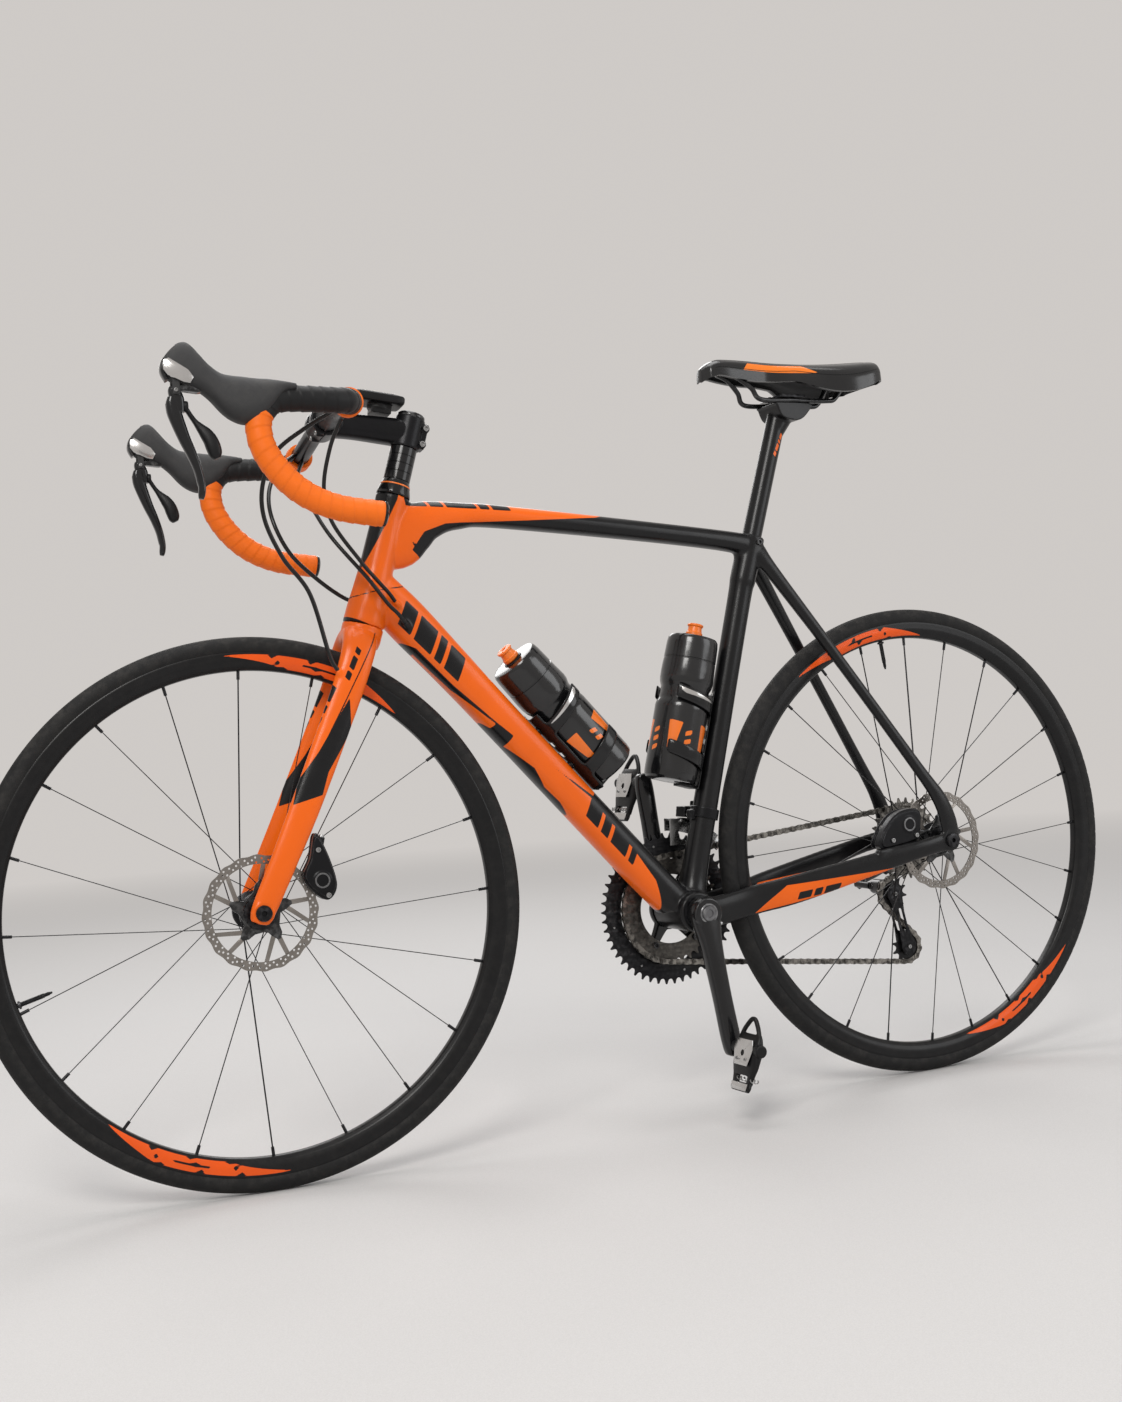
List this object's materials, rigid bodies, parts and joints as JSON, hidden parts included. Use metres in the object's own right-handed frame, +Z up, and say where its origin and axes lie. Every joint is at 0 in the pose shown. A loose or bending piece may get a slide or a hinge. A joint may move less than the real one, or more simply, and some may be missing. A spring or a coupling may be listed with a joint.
{
  "type": "road bike",
  "caption": "Road bike with a carbon frame, drop bars, disc brakes, spoked wheels, chain drive, bottles in cages and a slim saddle; steering, wheels, cranks, pedals, gears and levers move.",
  "frame": {"origin": "middle of the rear axle, on the mid-plane of the frame", "axes": "+X to the rear, +Y to the rider's right (the chain's side), +Z up; the ground lies at z = -0.336"},
  "size_m": [1.6612, 0.467, 1.03],
  "materials": {
    "orange_paint": "satin orange paint over carbon fibre",
    "black_carbon": "satin black carbon fibre",
    "black_alloy": "black anodised",
    "grey_alloy": "dark grey anodised",
    "rubber": "matt black",
    "tyre_rubber": "matt black",
    "orange_tape": "matt bar tape",
    "steel": "ground steel",
    "chain_steel": "oiled dark steel",
    "black_plastic": "satin",
    "saddle_cover": "smooth synthetic cover",
    "screen": "gloss",
    "bottle_plastic": "satin",
    "orange_plastic": "gloss"
  },
  "bodies": {
    "frame": {"frame": "orange_paint", "seatpost": "black_carbon", "saddle_clamp": "black_alloy", "saddle_base": "black_plastic", "saddle": "saddle_cover", "cage_down": "black_plastic", "cage_seat": "black_plastic", "rear_caliper": "black_alloy", "rear_thru_axle": "black_alloy", "chain": "chain_steel", "fd_body": "black_alloy"},
    "steering": {"fork": "orange_paint", "headset_cover": "black_carbon", "headset_spacers": "black_alloy", "stem": "black_alloy", "stem_faceplate": "black_alloy", "stem_cap": "black_alloy", "handlebar": "black_alloy", "tape_left": "orange_tape", "tape_right": "orange_tape", "hood_left": "rubber", "hood_right": "rubber", "computer": "screen", "front_caliper": "black_alloy", "front_thru_axle": "black_alloy", "hose_front": "rubber", "hose_rear": "rubber", "cable_left": "rubber", "cable_right": "rubber"},
    "front_wheel": {"front_tyre": "tyre_rubber", "front_rim": "black_carbon", "front_hub": "black_alloy", "front_rotor": "steel"},
    "rear_wheel": {"rear_tyre": "tyre_rubber", "rear_rim": "black_carbon", "rear_hub": "black_alloy", "rear_rotor": "steel"},
    "crankset": {"crank_right": "grey_alloy", "chainring_outer": "black_alloy", "crank_left": "grey_alloy"},
    "lever_carrier_left": {"lever_carrier_left": "black_alloy"},
    "lever_carrier_right": {"lever_carrier_right": "black_alloy"},
    "lever_blade_left": {"lever_blade_left": "grey_alloy"},
    "lever_blade_right": {"lever_blade_right": "grey_alloy"},
    "shift_paddle_left": {"shift_paddle_left": "grey_alloy"},
    "shift_paddle_right": {"shift_paddle_right": "grey_alloy"},
    "cassette": {"cassette": "grey_alloy"},
    "pedal_left": {"pedal_left": "black_alloy"},
    "pedal_right": {"pedal_right": "black_alloy"},
    "rd_knuckle": {"rd_knuckle": "black_plastic"},
    "rd_link": {"rd_link": "grey_alloy"},
    "rd_pknuckle": {"rd_pknuckle": "black_plastic"},
    "rd_cage": {"rd_cage": "black_alloy"},
    "jockey_upper": {"jockey_upper": "black_plastic"},
    "jockey_lower": {"jockey_lower": "black_plastic"},
    "fd_cage": {"fd_cage": "steel"},
    "bottle_down": {"bottle_down": "bottle_plastic"},
    "bottle_seat": {"bottle_seat": "bottle_plastic"},
    "nozzle_down": {"nozzle_down": "orange_plastic"},
    "nozzle_seat": {"nozzle_seat": "orange_plastic"}
  },
  "joints": [
    {"name": "steering_turn", "type": "hinge", "parent": "frame", "child": "steering", "pos_m": [-0.83185, 0, 0.34165], "axis": [0.3007, 0, 0.9537], "range_deg": [-47.8, 62.2], "deforming": ["hose_rear", "cable_left", "cable_right"]},
    {"name": "front_wheel_spin", "type": "hinge", "parent": "steering", "child": "front_wheel", "pos_m": [-0.99162, 0.00627, -0.00012], "axis": [-0.1195, -0.9921, 0.0377], "continuous": true},
    {"name": "rear_wheel_spin", "type": "hinge", "parent": "frame", "child": "rear_wheel", "pos_m": [0, 0, 0], "axis": [0, -1, 0], "continuous": true},
    {"name": "crank_spin", "type": "hinge", "parent": "frame", "child": "crankset", "pos_m": [-0.3982, 0, -0.062], "axis": [0, -1, 0], "continuous": true},
    {"name": "cassette_spin", "type": "hinge", "parent": "frame", "child": "cassette", "pos_m": [0, 0.045, 0], "axis": [0, -1, 0], "continuous": true},
    {"name": "pedal_left_spin", "type": "hinge", "parent": "crankset", "child": "pedal_left", "pos_m": [-0.38447, -0.121, -0.23646], "axis": [0, -1, 0], "continuous": true},
    {"name": "pedal_right_spin", "type": "hinge", "parent": "crankset", "child": "pedal_right", "pos_m": [-0.41193, 0.108, 0.11246], "axis": [0, -1, 0], "continuous": true},
    {"name": "rd_knuckle_swing", "type": "hinge", "parent": "frame", "child": "rd_knuckle", "pos_m": [0.009, 0.083, -0.028], "axis": [0, -1, 0], "range_deg": [0, 25], "stiffness_Nm_per_rad": 0.6, "springref_deg": -28.65, "deforming": ["chain"]},
    {"name": "rd_link_swing", "type": "hinge", "parent": "rd_knuckle", "child": "rd_link", "pos_m": [0.006, 0.09, -0.047], "axis": [-0.3136, -0.5293, 0.7884], "range_deg": [-55, 11.3], "deforming": ["chain"]},
    {"name": "rd_pknuckle_swing", "type": "hinge", "parent": "rd_link", "child": "rd_pknuckle", "pos_m": [-0.03633, 0.09268, -0.06204], "axis": [-0.3136, -0.5293, 0.7884], "range_deg": [-11.5, 55.2], "deforming": ["chain"]},
    {"name": "rd_cage_swing", "type": "hinge", "parent": "rd_pknuckle", "child": "rd_cage", "pos_m": [-0.0325, 0.044, -0.0698], "axis": [0, -1, 0], "range_deg": [-20, 30], "stiffness_Nm_per_rad": 1, "deforming": ["chain"]},
    {"name": "jockey_upper_spin", "type": "hinge", "parent": "rd_cage", "child": "jockey_upper", "pos_m": [-0.0245, 0.0372, -0.0798], "axis": [0, -1, 0], "continuous": true},
    {"name": "jockey_lower_spin", "type": "hinge", "parent": "rd_cage", "child": "jockey_lower", "pos_m": [-0.00507, 0.0372, -0.15946], "axis": [0, -1, 0], "continuous": true},
    {"name": "fd_cage_shift", "type": "slide", "parent": "frame", "child": "fd_cage", "axis": [0, 1, 0], "range_m": [0, 0.0075], "deforming": ["chain"]},
    {"name": "bottle_down_pull", "type": "slide", "parent": "frame", "child": "bottle_down", "axis": [-0.6665, 0, 0.7455], "range_m": [0, 0.08]},
    {"name": "bottle_seat_pull", "type": "slide", "parent": "frame", "child": "bottle_seat", "axis": [0.2656, 0, 0.9641], "range_m": [0, 0.08]},
    {"name": "nozzle_down_pull", "type": "slide", "parent": "bottle_down", "child": "nozzle_down", "axis": [-0.6665, 0, 0.7455], "range_m": [0, 0.006]},
    {"name": "nozzle_seat_pull", "type": "slide", "parent": "bottle_seat", "child": "nozzle_seat", "axis": [0.2656, 0, 0.9641], "range_m": [0, 0.006]},
    {"name": "brake_pull_left", "type": "hinge", "parent": "steering", "child": "lever_carrier_left", "pos_m": [-1.09213, -0.16553, 0.59811], "axis": [-0.1195, -0.9921, 0.0377], "range_deg": [0, 21], "stiffness_Nm_per_rad": 0.5, "springref_deg": -28.65},
    {"name": "blade_swing_left", "type": "hinge", "parent": "lever_carrier_left", "child": "lever_blade_left", "pos_m": [-1.08819, -0.16663, 0.58163], "axis": [0.9928, -0.1195, 0.0023], "range_deg": [0, 18], "stiffness_Nm_per_rad": 0.3, "springref_deg": -28.65},
    {"name": "paddle_swing_left", "type": "hinge", "parent": "lever_carrier_left", "child": "shift_paddle_left", "pos_m": [-1.08819, -0.16663, 0.58163], "axis": [0.9928, -0.1195, 0.0023], "range_deg": [0, 18], "stiffness_Nm_per_rad": 0.2, "springref_deg": -28.65},
    {"name": "brake_pull_right", "type": "hinge", "parent": "steering", "child": "lever_carrier_right", "pos_m": [-1.04312, 0.24124, 0.58266], "axis": [-0.1195, -0.9921, 0.0377], "range_deg": [0, 21], "stiffness_Nm_per_rad": 0.5, "springref_deg": -28.65},
    {"name": "blade_swing_right", "type": "hinge", "parent": "lever_carrier_right", "child": "lever_blade_right", "pos_m": [-1.03918, 0.24014, 0.56618], "axis": [-0.9928, 0.1195, -0.0023], "range_deg": [0, 18], "stiffness_Nm_per_rad": 0.3, "springref_deg": -28.65},
    {"name": "paddle_swing_right", "type": "hinge", "parent": "lever_carrier_right", "child": "shift_paddle_right", "pos_m": [-1.03918, 0.24014, 0.56618], "axis": [-0.9928, 0.1195, -0.0023], "range_deg": [0, 18], "stiffness_Nm_per_rad": 0.2, "springref_deg": -28.65}
  ],
  "couplings": [
    {"joint": "cassette_spin", "follows": "crank_spin", "ratio": 1.5652},
    {"joint": "jockey_upper_spin", "follows": "crank_spin", "ratio": -3.2727},
    {"joint": "jockey_lower_spin", "follows": "crank_spin", "ratio": 3.2727},
    {"joint": "rd_pknuckle_swing", "follows": "rd_link_swing", "ratio": -1}
  ]
}
